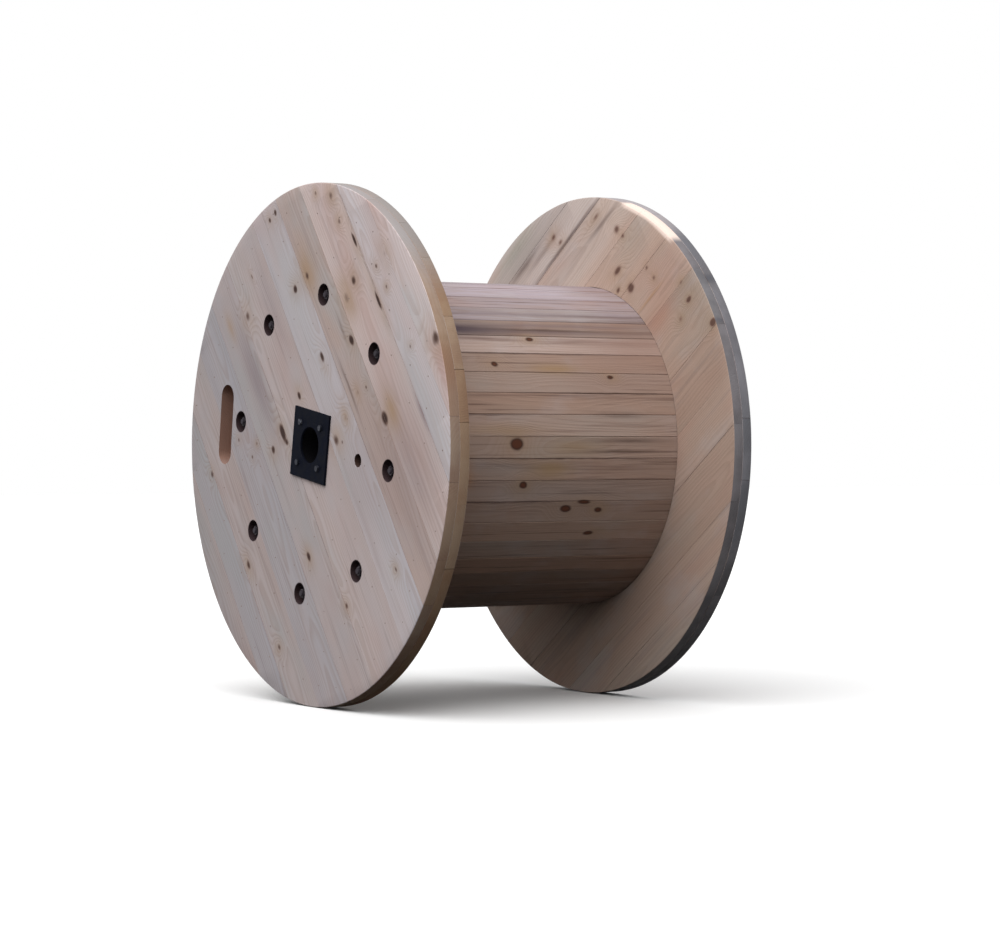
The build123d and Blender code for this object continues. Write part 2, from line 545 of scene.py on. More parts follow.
holes = {
    "bore": 0.066,
    "boreSides": 72,
    "drivePin": mounts["drive_hole_left"]["dims"]["r_mm"] / 1000,
    "drivePinSides": 40,
    "rod": 0.011,
    "rodSides": 20,
    "recess": 0.037,
    "recessDepth": 0.030,
    "recessSides": 40,
    "rodCircle": 0.51977,
    "rodCount": 8,
    "grooveOutside": 0.5753,
    "grooveInside": 0.53547,
    "grooveDepth": 0.014,
    "grooveSides": 192,
    "slotLength": 0.287,
    "slotWidth": 0.093,
    "slotPlace": 0.630,
    "slotAngle": math.radians(182.5),
    "slotSides": 48,
}


def heading(angle):
    return Vector((math.cos(angle), math.sin(angle), 0))


def boardAxes(angle):
    return heading(angle), heading(angle + math.pi / 2)


rodAngles = [2 * math.pi * number / holes["rodCount"] for number in range(holes["rodCount"])]
rodPlaces = [heading(angle) * holes["rodCircle"] for angle in rodAngles]
drivePlace = Vector((drivePinRadius, 0, 0))
slotOutward, slotOnward = boardAxes(holes["slotAngle"])
slotMiddle = slotOutward * holes["slotPlace"]
stripReach = drum["radius"] + boards["pastRim"]


def boardSpans(node, across):
    # lowest and highest place of each board across its run, read from the frame
    mesh = frame["nodes"][node].data
    places = [across.dot(rowToDrum @ vert.co) for vert in mesh.vertices]
    faces = [[places[number] for number in face.vertices] for face in mesh.polygons]
    spans = []
    for low, high in sorted((min(face), max(face)) for face in faces):
        if spans and low <= spans[-1][1]:
            spans[-1][1] = max(high, spans[-1][1])
        else:
            spans.append([low, high])
    return spans


def boardStrip(low, high, bottom, top, axes, seed):
    # one sawn board: a rounded section carried along its run, with edges that wander
    along, across = axes
    rounding, steps, stations = boards["edgeRounding"], boards["cornerSteps"], boards["stations"]
    section = []
    for quarter, (onHigh, onTop) in enumerate(((1, 1), (0, 1), (0, 0), (1, 0))):
        place = high - rounding if onHigh else low + rounding
        height = top - rounding if onTop else bottom + rounding
        for step in range(steps + 1):
            turn = math.pi / 2 * (quarter + step / steps)
            section.append((onHigh, place + rounding * math.cos(turn), height + rounding * math.sin(turn)))
    rings = []
    for station in range(stations + 1):
        run = stripReach * (2 * station / stations - 1)
        onSaw = run * boards["sawWaves"]
        wander = [boards["sawWander"] * noise.noise((onSaw, seed, edge * boards["edgeApart"]))
                  for edge in (0, 1)]
        rings.append([along * run + across * (place + wander[onHigh]) + Vector((0, 0, height))
                      for onHigh, place, height in section])
    return skin(rings)


def rimDisc(low, high, roundLow, roundHigh, seed, worn):
    # the disc that the boards of one ply are cut to, with eased and worn edges
    waves, steps, over = boards["rimWaves"], boards["rimArcSteps"], boards["overcut"]
    arc = [math.pi / 2 * step / steps for step in range(steps + 1)]

    def profileAt(angle):
        wear = 0.5 + 0.5 * noise.noise((math.cos(angle) * waves, math.sin(angle) * waves, seed))
        radius = drum["radius"] - boards["rimWear"] * max(wear, 0)
        top = roundHigh
        if worn:
            away = abs((angle - worn["middle"] + math.pi) % (2 * math.pi) - math.pi)
            top += worn["depth"] * max(0.0, 1 - (away / worn["half"]) ** 4)
        points = [(radius - roundLow, low - over)]
        for turn in arc:
            points.append((radius - roundLow * (1 - math.sin(turn)), low + roundLow * (1 - math.cos(turn))))
        for turn in arc:
            points.append((radius - top * (1 - math.cos(turn)), high - top * (1 - math.sin(turn))))
        points.append((radius - top, high + over))
        return points
    return turned(profileAt, boards["rimSteps"])


def holeTool(radii, face, inward, sides):
    # a hole with a flared mouth: (radius, depth) steps under the face
    start, over = boards["holeFlare"], boards["overcut"]
    steps = [(radii[0][0] + start + over, -over)]
    for radius, depth in radii:
        steps += [(radius, start), (radius, depth)]
        start = depth
    return turned([(radius, face + inward * depth) for radius, depth in steps], sides)


def slotTool(face, inward, through):
    flare, sides = boards["holeFlare"], holes["slotSides"]
    straight = (holes["slotLength"] - holes["slotWidth"]) / 2
    rings = []
    for depth in (-boards["overcut"], 0.0, flare, through):
        half = holes["slotWidth"] / 2 + max(0.0, flare - depth)
        middle = slotMiddle + Vector((0, 0, face + inward * depth))
        ring = []
        for step in range(sides):
            turn = 2 * math.pi * (step + 0.5) / sides
            onward = half * math.sin(turn) + math.copysign(straight, math.sin(turn))
            ring.append(middle + slotOutward * (half * math.cos(turn)) + slotOnward * onward)
        rings.append(ring)
    return skin(rings)


def plyHoles(side, ply):
    # everything that goes through, or is sunk into, one ply
    face = side * drum[ply + "Face"]
    inward = -side if ply == "outer" else side
    through = drum["outerFace"] - drum["plyJoint"] + boards["overcut"]
    tools = []

    def drill(place, sides, *radii):
        tools.append(moved(holeTool(radii, face, inward, sides), place))

    drill(Vector(), holes["boreSides"], (holes["bore"], through))
    drill(drivePlace, holes["drivePinSides"], (holes["drivePin"], through))
    recess = (holes["recess"], holes["recessDepth"])
    for place in rodPlaces:
        if ply == "outer":
            drill(place, holes["recessSides"], recess, (holes["rod"], through))
        else:
            drill(place, holes["rodSides"], (holes["rod"], through))
    if side > 0:
        tools.append(slotTool(face, inward, through))
    if ply == "inner":
        mouth, bottom = face - inward * boards["overcut"], face + inward * holes["grooveDepth"]
        inside, outside = holes["grooveInside"], holes["grooveOutside"]
        ring = [(inside, mouth), (outside, mouth), (outside, bottom), (inside, bottom)]
        tools.append(turned(ring, holes["grooveSides"], loop=True))
    return joined(tools)


def setMarks(mesh, marks):
    for number, name in enumerate(boardMarks):
        made = mesh.attributes.new(name, "FLOAT_VECTOR", "POINT")
        made.data.foreach_set("vector", [value for mark in marks for value in mark[number]])


def markBoards(mesh, spans, openness, axes, face, look, draw):
    # where each point lies on its board, and the board's own pith, tone and edges, and its brightness level,
    # which on the left face carries painted light and shade
    along, across = axes
    middles = [(here[1] + beside[0]) / 2 for here, beside in zip(spans, spans[1:])]
    aside = boards["pithAside"]
    piths = []
    for low, high in spans:
        pithAcross = draw.uniform(low - aside, high + aside)
        piths.append((pithAcross, face + draw.choice((-1, 1)) * draw.uniform(*boards["pithDepth"])))
    tones = look["boardTones"] or [draw.random() for _ in spans]
    levels = look["boardShades"] or [draw.random() for _ in spans]
    crisp = [boards["crispJoint"] - boards["crispLoss"] * gap for gap in (0.0, *openness, 0.0)]
    marks = []
    for vert in mesh.vertices:
        place = across.dot(vert.co)
        number = sum(middle < place for middle in middles)
        low, high = spans[number]
        marks.append(((along.dot(vert.co), place, vert.co.z), (*piths[number], tones[number]),
                      ((place - low) * crisp[number], (high - place) * crisp[number + 1], levels[number])))
    setMarks(mesh, marks)


def flangePly(end, look):
    side = 1 if end == "left" else -1
    ply = look["ply"]
    name = end + ply.title()
    node = "%s_flange_%s_boards" % (end, ply)
    draw = random.Random(look["seed"])
    axes = boardAxes(drum[ply + "BoardAngle"])
    spans = boardSpans(node, axes[1])
    openness = look["jointOpen"] or [draw.random() ** 2 * boards["openShare"] for _ in spans[1:]]
    edges = [-stripReach]
    for (_, high), (low, _), gap in zip(spans, spans[1:], openness):
        half = (boards["tightJoint"] + gap * (boards["openJoint"] - boards["tightJoint"])) / 2
        edges += [(low + high) / 2 - half, (low + high) / 2 + half]
    edges.append(stripReach)
    spans = list(zip(edges[::2], edges[1::2]))
    face, joint = side * drum[ply + "Face"], side * drum["plyJoint"]
    strips = []
    for number, (low, high) in enumerate(spans):
        sunk = draw.uniform(boards["leastSunk"], 1.0) * boards["lowestFace"]
        bottom, top = sorted((face + math.copysign(sunk, joint - face), joint))
        seed = look["seed"] + number * boards["boardApart"]
        strips.append(boardStrip(low, high, bottom, top, axes, seed))
    made = asObject(name + "Boards", joined(strips))
    low, high = sorted((face, joint))
    roundFace, roundJoint = boards["rimRounding"], boards["jointRounding"]
    rounds = (roundJoint, roundFace) if face > joint else (roundFace, roundJoint)
    carve(made, rimDisc(low, high, *rounds, look["seed"], look["wornEdge"]), "INTERSECT")
    carve(made, plyHoles(side, ply), "DIFFERENCE")
    markBoards(made.data, spans, openness, axes, face, look, draw)
    placed(made.data, pineMaterial(name + "Pine", look))
    finished(made, "flange_wood", node)
    print(made.name, len(made.data.polygons), "faces")
    return spans


faceLook = {  # colours as they look on screen, 0 to 255
    "ply": "outer",
    "tones": [(0.0, (178, 156, 144)), (0.35, (190, 172, 167)), (0.65, (194, 182, 182)),
              (1.0, (182, 178, 184))],
    "pink": (186, 158, 152), "pinkShare": 0.4,
    "cool": (178, 179, 181), "coolShare": 0.5,
    "lateWood": (154, 130, 116), "lateWoodShare": 0.26,
    "streak": (142, 125, 122), "streakShare": 0.4,
    "line": (122, 104, 98), "lineShare": 0.3,
    "weather": (182, 177, 180), "weatherShare": 0.3,
    "ochre": (160, 128, 92), "ochreShare": 0.45,
    "knot": (92, 70, 62), "knotHeart": (44, 32, 32), "knotEdge": (0.2, 0.6),
    "rim": (160, 134, 108), "rimDark": (142, 108, 80), "rimShare": 0.8,
    # painted sky light: the rim greyer where it faces up
    "rimSkyLit": (147, 143, 142), "rimSkyLitFrom": (0.5, 0.78),
    # painted shade: the walls of the slot and the holes, and the recesses
    "slotWallShade": (145, 112, 100), "holeWallShade": (52, 38, 34), "recess": (50, 39, 44),
    "joint": (72, 56, 50), "jointDirt": 0.004, "jointShare": 0.4,
    "ringWidth": 0.0075, "ringWander": 0.06, "bandShift": 0.55, "shadeSpread": 0.2, "strayShare": 0.3,
    # painted shade: the bore near-black
    "boreShade": (9, 8, 11), "wornEdge": None,
    "boardTones": None, "boardShades": None, "jointOpen": None, "knots": [], "stains": [],
}
leftOuterKnots = [
    (-0.389, 0.64, 0.036, 0.008, 0.9), (-0.126, 0.646, 0.042, 0.008, 0.9), (-0.227, 0.7, 0.012, 0.009, 0.6),
    (-0.227, 0.766, 0.024, 0.014, 0.35), (-0.281, 0.557, 0.022, 0.015, 0.7),
    (-0.263, 0.485, 0.034, 0.02, 0.45), (-0.126, 0.427, 0.024, 0.014, 1), (-0.491, 0.317, 0.018, 0.013, 0.55),
    (-0.505, 0.224, 0.018, 0.014, 0.9), (-0.2, 0.236, 0.024, 0.012, 0.8), (0.215, 0.452, 0.028, 0.018, 1),
    (0.042, 0.359, 0.016, 0.01, 0.4), (0.086, 0.15, 0.026, 0.02, 0.55), (0.06, 0.245, 0.02, 0.014, 0.35),
    (0.114, 0.18, 0.01, 0.008, 0.5), (-0.189, 0.03, 0.018, 0.011, 0.9), (-0.153, -0.141, 0.036, 0.014, 1.1),
    (-0.108, -0.134, 0.012, 0.009, 0.6), (-0.146, -0.23, 0.018, 0.014, 0.75),
    (-0.64, -0.108, 0.024, 0.018, 0.55), (-0.233, -0.317, 0.01, 0.009, 0.5),
    (-0.215, -0.371, 0.01, 0.009, 0.5), (-0.323, -0.419, 0.01, 0.009, 0.5),
    (-0.682, 0.527, 0.012, 0.009, 0.5), (-0.61, 0.604, 0.022, 0.014, 0.5),
    (-0.503, 0.598, 0.016, 0.012, 0.5), (-0.736, 0, 0.016, 0.005, 0.6),
    (0.195, 0.858, 0.03, 0.026, 0.6), (-0.811, 0.267, 0.014, 0.01, 0.75), (-0.814, 0.22, 0.014, 0.009, 0.7),
    (0.058, 0.415, 0.01, 0.007, 0.6), (0.122, 0.718, 0.01, 0.008, 0.5), (-0.132, 0.714, 0.01, 0.008, 0.5),
    (0.58, -0.12, 0.016, 0.011, 0.6), (0.3, -0.24, 0.02, 0.013, 0.8), (0.66, 0.22, 0.014, 0.01, 0.5),
    (0.08, -0.62, 0.022, 0.012, 0.7), (0.44, -0.6, 0.016, 0.012, 0.55), (-0.34, -0.66, 0.018, 0.012, 0.6),
]
leftOuterLook = faceLook | {
    "seed": 11,
    "boardTones": [0.7, 0.85, 0.6, 0.9, 0.7, 0.6, 0.93, 0.34, 0.48, 0.78, 0.62],
    # painted light: the boards lighter towards the top of the face, painted shade on the lower ones
    "boardShades": [0.1, 0.15, 0.2, 0.22, 0.28, 0.5, 0.78, 0.54, 1.12, 1.12, 1.08],
    "shadeSpread": 0.42,
    "jointOpen": [0.1, 0.15, 0.05, 0.1, 0.15, 0.02, 0.04, 0.06, 0.12, 0.06],
    "strayShare": 0.0,
    "knots": leftOuterKnots,
    "stains": [
        ((190, 190, 192), [(0.27, 0.69, 0.33, 0.045, 0.6), (-0.5, 0.2, 0.34, 0.07, 0.55)]),
        # painted shade: the lower part of the face darker and more mauve
        ((148, 129, 127), [(0.42, 0.49, 0.34, 0.17, 0.65), (0.3, 0.2, 0.25, 0.12, 0.35)]),
        ((184, 144, 134), [
            (-0.45, 0.8, 0.2, 0.05, 0.4), (0.3, 0.85, 0.12, 0.04, 0.8), (-0.3, 0.56, 0.3, 0.05, 0.35)]),
        ((130, 114, 120), [
            (-0.42, -0.19, 0.22, 0.045, 0.6), (-0.55, 0.05, 0.2, 0.05, 0.3),
            (0.34, 0.651, 0.08, 0.009, 0.7)]),
        ((170, 138, 102), [
            (-0.251, 0.491, 0.075, 0.04, 0.6), (0.215, 0.505, 0.07, 0.035, 0.65),
            (-0.503, 0.325, 0.09, 0.05, 0.6), (0.078, 0.165, 0.05, 0.035, 0.45),
            (0.054, 0.245, 0.035, 0.02, 0.4), (-0.688, -0.233, 0.06, 0.025, 0.5)]),
        ((98, 80, 74), [
            (-0.006, 0.323, 0.11, 0.006, 0.7), (-0.19, 0.4, 0.06, 0.008, 0.5),
            (-0.3, 0.65, 0.3, 0.004, 0.4)]),
    ],
}
rightInnerLook = faceLook | {
    "seed": 23,
    "ply": "inner",
    "boardTones": [0.4, 0.4, 0.35, 0.4, 0.3, 0.35, 0.4, 0.45, 0.6, 0.9, 0.85],
    "boardShades": [0.5, 0.5, 0.4, 0.5, 0.4, 0.45, 0.65, 0.85, 1.05, 1.25, 1.15],
    "shadeSpread": 0.3,
    "tones": [(0.0, (170, 140, 124)), (0.4, (184, 160, 146)), (0.7, (188, 173, 165)),
              (1.0, (182, 173, 171))],
    "pink": (186, 148, 134), "cool": (168, 162, 152), "coolShare": 0.4,
    "knot": (130, 102, 91), "knotHeart": (94, 70, 62), "knotEdge": (0.1, 0.85),
    "rim": (124, 125, 132), "rimDark": (93, 96, 103), "rimShare": 0.85,
    # painted sky light: the rim paler and greyer where it faces up
    "rimSkyLit": (160, 154, 157), "rimSkyLitFrom": (0.79, 0.92),
    "streakShare": 0.45, "strayShare": 0.1, "jointShare": 0.15,
    "jointOpen": [0.08, 0.02, 0.06, 0.02, 0.05, 0.0, 0.02, 0.04, 0.3, 0.12],
    "wornEdge": {"middle": math.radians(73), "half": math.radians(12), "depth": 0.012, "from": 0.876,
                 "colour": (242, 221, 209)},
    "knots": [
        (0.287, 0.738, 0.02, 0.013, 0.8), (0.311, 0.695, 0.018, 0.011, 0.7), (0.544, 0.625, 0.03, 0.01, 0.7),
        (0.619, 0.506, 0.02, 0.018, 0.8), (0.635, 0.463, 0.014, 0.011, 0.7),
        (0.538, 0.382, 0.026, 0.015, 0.9), (0.5, 0.322, 0.016, 0.012, 0.8), (0.565, 0.282, 0.022, 0.02, 1),
        (0.684, 0.279, 0.012, 0.01, 0.7), (0.695, 0.225, 0.012, 0.011, 0.7), (0.814, 0.036, 0.018, 0.011, 1),
        (0.738, 0.009, 0.014, 0.012, 0.6), (0.813, 0.113, 0.011, 0.009, 0.6),
        (0.878, -0.113, 0.018, 0.014, 1.4),
    ],
    "stains": [
        ((150, 143, 141), [(0.15, 0.8, 0.3, 0.06, 0.5), (0.25, 0.6, 0.25, 0.05, 0.3)]),
        ((142, 144, 130), [(0.05, 0.86, 0.15, 0.03, 0.45)]),
        ((184, 140, 122), [(0.63, 0.09, 0.12, 0.05, 0.6)]),
        ((168, 130, 90), [(0.635, 0.182, 0.085, 0.006, 0.6)]),
        ((104, 90, 86), [
            (0.07, 0.77, 0.11, 0.015, 0.8), (0.345, 0.671, 0.24, 0.009, 0.8),
            (0.57, 0.581, 0.115, 0.01, 0.65), (0.2, 0.735, 0.12, 0.012, 0.55)]),
    ],
}
rimKeys = ("rim", "rimDark", "rimShare", "rimSkyLit", "rimSkyLitFrom")  # the two plies of a flange share one rim
leftInnerLook = rightInnerLook | {
    "seed": 37, "boardTones": None, "jointOpen": None, "knots": [], "stains": [], "wornEdge": None,
    "boardShades": None, "strayShare": 0.3,
}
leftInnerLook |= {name: faceLook[name] for name in rimKeys}
rightOuterLook = faceLook | {"seed": 41} | {name: rightInnerLook[name] for name in rimKeys}

outerSpans = flangePly("left", leftOuterLook)
innerSpans = flangePly("left", leftInnerLook)
flangePly("right", rightInnerLook)
flangePly("right", rightOuterLook)


# Staves of the barrel

staves = {  # the inputs of the node tree that makes them
    "count": 48,
    "outerApothem": 0.57377,
    "thickness": 0.038,
    "length": 2 * (drum["innerFace"] + holes["grooveDepth"]),
    "gap": 0.0006,
    "edgeRounding": 0.0016,
    "unevenness": 0.0012,
    "tilt": math.radians(0.35),
    "firstAngle": math.radians(1.0),
    "seed": 5,
}
staveDraws = {  # least and most of what is drawn for a stave
    "pithDepth": (0.03, 0.1),
    "tone": (0.15, 0.6),
    "pithAside": (-0.05, 0.05),
    "crisp": (1.2, 6.0),
}
staveLook = faceLook | {
    "ply": None,
    "tones": [(0.0, (128, 106, 102)), (0.25, (160, 133, 118)), (0.6, (172, 150, 139)),
              (0.82, (162, 148, 151)), (1.0, (176, 164, 173))],
    "pink": (172, 138, 122), "pinkShare": 0.5, "cool": (162, 153, 146), "coolShare": 0.4,
    "streak": (106, 84, 75), "streakShare": 0.75,
    "line": (84, 65, 57), "lineShare": 0.6,
    "knot": (56, 34, 28), "knotHeart": (98, 58, 42),
    "weatherShare": 0.2, "rimShare": 0.0,
    "joint": (58, 44, 40), "jointDirt": 0.005, "jointShare": 0.38,
    "ringWidth": 0.006, "ringWander": 0.05, "bandShift": 0.35, "shadeSpread": 0.26, "strayShare": 0.1,
}
# knots and stains on the barrel: along the drum, stave number, half length, half width, strength
staveKnots = [
    (-0.181, 4.89, 0.016, 0.011, 0.8), (-0.137, 1.16, 0.026, 0.021, 1.1),
    (-0.103, -0.69, 0.018, 0.013, 0.9),
    (-0.004, 6.32, 0.018, 0.01, 0.8), (0.278, 4.32, 0.016, 0.01, 0.7), (0.159, -1.53, 0.032, 0.01, 0.8),
    (0.225, -1.93, 0.018, 0.011, 0.8), (0.09, -1.86, 0.024, 0.015, 0.9), (0.211, -3.13, 0.026, 0.01, 0.8),
]
staveStains = [
    ((158, 126, 80), [
        (0, 0, 0.09, 0.034, 0.65), (0.06, 4.7, 0.1, 0.02, 0.65), (0.1, 1, 0.12, 0.03, 0.45),
        (-0.2, 1.8, 0.16, 0.02, 0.35)]),
    ((170, 118, 70), [(-0.345, -0.3, 0.04, 0.06, 0.8)]),
    ((156, 146, 142), [(-0.19, 0, 0.15, 0.03, 0.5), (-0.1, -1, 0.4, 0.03, 0.4)]),
    # painted shade: the staves darker and browner at their end by the right flange
    ((140, 112, 101), [
        (0.42, 6.1, 0.24, 0.06, 0.65), (0.3, 4.2, 0.26, 0.09, 0.45), (0.48, 11, 0.16, 0.1, 0.5)]),
    ((74, 62, 71), [(-0.33, 6.87, 0.26, 0.032, 1), (0.1, 6.75, 0.3, 0.012, 0.5)]),
    ((112, 96, 98), [(0, 8, 0.6, 0.01, 0.5), (0.1, 7.2, 0.4, 0.008, 0.6), (-0.3, 9.5, 0.25, 0.005, 0.6)]),
    ((66, 48, 42), [
        (-0.1, 5.47, 0.4, 0.003, 0.8), (0.25, 3.5, 0.3, 0.003, 0.7), (-0.3, 2.48, 0.25, 0.003, 0.7),
        (0.05, 0.5, 0.45, 0.003, 0.8), (-0.2, -1.5, 0.3, 0.004, 0.8), (0.3, 2.5, 0.12, 0.01, 0.6),
        (0.32, 1.3, 0.14, 0.008, 0.6), (0.28, 0.8, 0.16, 0.006, 0.7), (0.1, 6.9, 0.2, 0.005, 0.6),
        (-0.42, 0.52, 0.12, 0.005, 0.8)]),
]
staveTones = {  # by stave number; the upper staves greyer and more lilac, painted sky light
    2: 0.58, 4: 0.5, 5: 0.42, 6: 0.62, 7: 0.16, 8: 0.78, 9: 0.84, 10: 0.95, 11: 0.95, 12: 0.95, 13: 0.92,
    14: 0.97, 15: 0.9, 16: 0.93, 17: 0.8, 18: 0.7, 19: 0.62,
}
staveShades = {2: 0.9, 5: 0.35, 7: 0.35, 8: 0.25, 9: 0.35, 10: 0.55, 11: 0.65}


def drawn(seed, low, high):
    return wire(seed.tree, "FunctionNodeRandomValue", {2: low, 3: high, "Seed": seed}, 1, data_type="FLOAT")


def copies(points, part, turn, finish):
    # ends a tree: a part on each point, turned round z, made real and given its finish
    tree = points.tree
    inputs = {"Points": points, "Instance": part, "Rotation": vector(z=turn)}
    real = wire(tree, "GeometryNodeRealizeInstances", {
        "Geometry": wire(tree, "GeometryNodeInstanceOnPoints", inputs)})
    wire(tree, "NodeGroupOutput", {
        "geometry": wire(tree, "GeometryNodeSetMaterial", {"Geometry": real, "Material": finish})})
    return tree


def staveTree():
    sizes = {name: "Int" if isinstance(value, int) else "Float" for name, value in staves.items()}
    tree, given = nodeGroup("staveRing", "GeometryNodeTree", sizes | {"wood": "Material"},
                            {"geometry": "Geometry"})
    apothem, thickness, length = given["outerApothem"], given["thickness"], given["length"]

    # one stave, wider on the outside
    pitch = maths("DIVIDE", 2 * math.pi, given["count"])
    spread = maths("TANGENT", pitch / 2) * 2
    section = wire(tree, "GeometryNodeCurvePrimitiveQuadrilateral", {
        "Height": thickness, "Top Width": apothem * spread - given["gap"],
        "Bottom Width": (apothem - thickness) * spread - given["gap"], "Offset": 0.0}, mode="TRAPEZOID")
    rounded = wire(tree, "GeometryNodeFilletCurve", {
        "Curve": section, "Radius": given["edgeRounding"], "Count": 1, "Limit Radius": True}, mode="POLY")
    foot = wire(tree, "GeometryNodeFillCurve", {"Curve": rounded}, mode="NGONS")
    body = wire(tree, "GeometryNodeExtrudeMesh", {
        "Mesh": foot, "Offset": vector(z=length), "Offset Scale": 1.0, "Individual": False})
    whole = wire(tree, "GeometryNodeJoinGeometry", {0: body})
    flipped = wire(tree, "GeometryNodeFlipFaces", {"Mesh": foot})
    tree.links.new(flipped.socket, whole.socket.node.inputs[0])
    welded = wire(tree, "GeometryNodeMergeByDistance", {"Geometry": whole, "Distance": 0.00001})
    down = vector(z=length * -0.5)
    stave = wire(tree, "GeometryNodeTransform", {"Geometry": welded, "Translation": down})

    # the ring that the staves stand on
    angle = wire(tree, "GeometryNodeInputIndex") * pitch + given["firstAngle"]
    radius = apothem - thickness / 2 - drawn(given["seed"], 0.0, given["unevenness"])
    place = vector(radius * maths("COSINE", angle), radius * maths("SINE", angle))
    points = wire(tree, "GeometryNodePoints", {"Count": given["count"]})
    ring = wire(tree, "GeometryNodeSetPosition", {"Geometry": points, "Position": place})
    lean = drawn(given["seed"] + 1, given["tilt"] * -1.0, given["tilt"])
    return copies(ring, stave, angle - math.pi / 2 + lean, given["wood"])


def grown(name, tree, values, start=None):
    # runs a node tree on an object and keeps its result as a plain mesh
    made = added(name, start or bpy.data.meshes.new(name))
    change = made.modifiers.new("grown", "NODES")
    change.node_group = tree
    for socket in tree.interface.items_tree:
        if socket.in_out == "INPUT" and socket.name in values:
            change[socket.identifier] = values[socket.name]
    settle(made)
    return made


def barrel():
    draw = random.Random(staves["seed"])
    pitch = 2 * math.pi / staves["count"]
    width = 2 * staves["outerApothem"] * math.tan(pitch / 2)

    def onStaves(places):
        return [(along, number * width, *reach) for along, number, *reach in places]

    look = staveLook | {"knots": onStaves(staveKnots),
                        "stains": [(colour, onStaves(places)) for colour, places in staveStains]}
    piece = grown("barrelStaves", staveTree(), staves | {"wood": pineMaterial("barrelPine", look)})
    kinds = {}
    crisp = {}
    for number in range(-staves["count"] // 2, staves["count"] // 2 + 1):
        pith = draw.choice((-1, 1)) * draw.uniform(*staveDraws["pithDepth"])
        tone = staveTones.get(number, draw.uniform(*staveDraws["tone"]))
        aside = draw.uniform(*staveDraws["pithAside"])
        kinds[number] = (number * width + aside, pith, tone), staveShades.get(number, draw.random())
        crisp[number] = draw.uniform(*staveDraws["crisp"])
    marks = []
    for vert in piece.data.vertices:
        angle = math.atan2(vert.co.y, vert.co.x) - staves["firstAngle"]
        number = round(angle / pitch)
        off = angle - number * pitch
        radius = math.hypot(vert.co.x, vert.co.y)
        aside = radius * math.sin(off)
        depth = radius * math.cos(off) - staves["outerApothem"]
        half = width / 2 + depth * math.tan(pitch / 2)
        kind, level = kinds[number]
        above = crisp.get(number + 1, crisp[number])
        marks.append(((-vert.co.z, number * width + aside, depth), kind,
                      ((half + aside) * crisp[number], (half - aside) * above, level)))
    setMarks(piece.data, marks)
    piece.data.transform(drumToRow)
    finished(piece, "barrel_wood", "barrel_staves", smooth=35)
    print("barrelStaves", len(piece.data.polygons), "faces")


barrel()


# Rods, nuts, washers, plates, screws and nails

steelFigures = {  # repeats a metre, then detail
    "blotch": ((38, 38, 38), 4.0),
    "speckle": ((420, 420, 420), 2.0),
    "scratch": ((60, 25, 900), 2.0),
}
steelLook = {
    "blotchFrom": (0.3, 0.7), "speckleShare": 0.5, "wornFade": 0.16, "wornShare": 0.5,
    "roughness": (0.6, 0.8), "scratchRelief": 0.4, "bump": 0.25, "bumpDepth": 0.0004,
    "metallic": 0.6, "specular": 0.2,
}


def steelMaterial(name, look):
    material = newMaterial(name)
    place = wire(material.node_tree, "ShaderNodeTexCoord", take="Object")
    blotch, speckle, scratch = [grain(place * stretch, detail) for stretch, detail in steelFigures.values()]
    colour = ramp(blotch, list(zip(look["blotchFrom"], (look["dark"], look["pale"]))))
    patchy = speckle * look["speckleShare"] + blotch
    worn = eased(patchy, look["wornFrom"], look["wornFrom"] + look["wornFade"])
    colour = mixed(worn * look["wornShare"], colour, look["worn"])
    roughness = eased(blotch, *look["blotchFrom"], *look["roughness"])
    height = scratch * look["scratchRelief"] + speckle
    constants = {"Metallic": look["metallic"], "Specular IOR Level": look["specular"]}
    return dressed(material, colour, roughness, height, (look["bump"], look["bumpDepth"]), constants)


darkZinc = steelMaterial("recessZinc", steelLook | {
    "dark": (30, 26, 30), "pale": (48, 42, 47), "worn": (92, 85, 90), "wornFrom": 0.78,
    "wornShare": 0.6, "roughness": (0.4, 0.65), "bump": 0.3})
rodZinc = steelMaterial("rodZinc", steelLook | {
    "dark": (40, 36, 41), "pale": (60, 55, 62), "worn": (62, 46, 40), "wornFrom": 0.86,
    "roughness": (0.5, 0.7), "metallic": 0.4, "specular": 0.15})
# dark screw heads with pale specks of worn paint, which also stand in for painted highlights
screwZinc = steelMaterial("screwZinc", steelLook | {
    "dark": (26, 28, 36), "pale": (44, 46, 56), "worn": (140, 142, 150), "wornFrom": 0.84,
    "wornShare": 0.7, "roughness": (0.4, 0.6)})
blackPaint = steelMaterial("platePaint", steelLook | {
    "dark": (12, 14, 22), "pale": (20, 23, 34), "worn": (48, 50, 60), "wornFrom": 0.98,
    "metallic": 0.0, "specular": 0.03})
nailSteel = steelMaterial("nailSteel", steelLook | {
    "dark": (138, 122, 114), "pale": (158, 144, 137), "worn": (112, 90, 78), "wornFrom": 0.7,
    "bump": 0.3, "metallic": 0.0, "specular": 0.3})

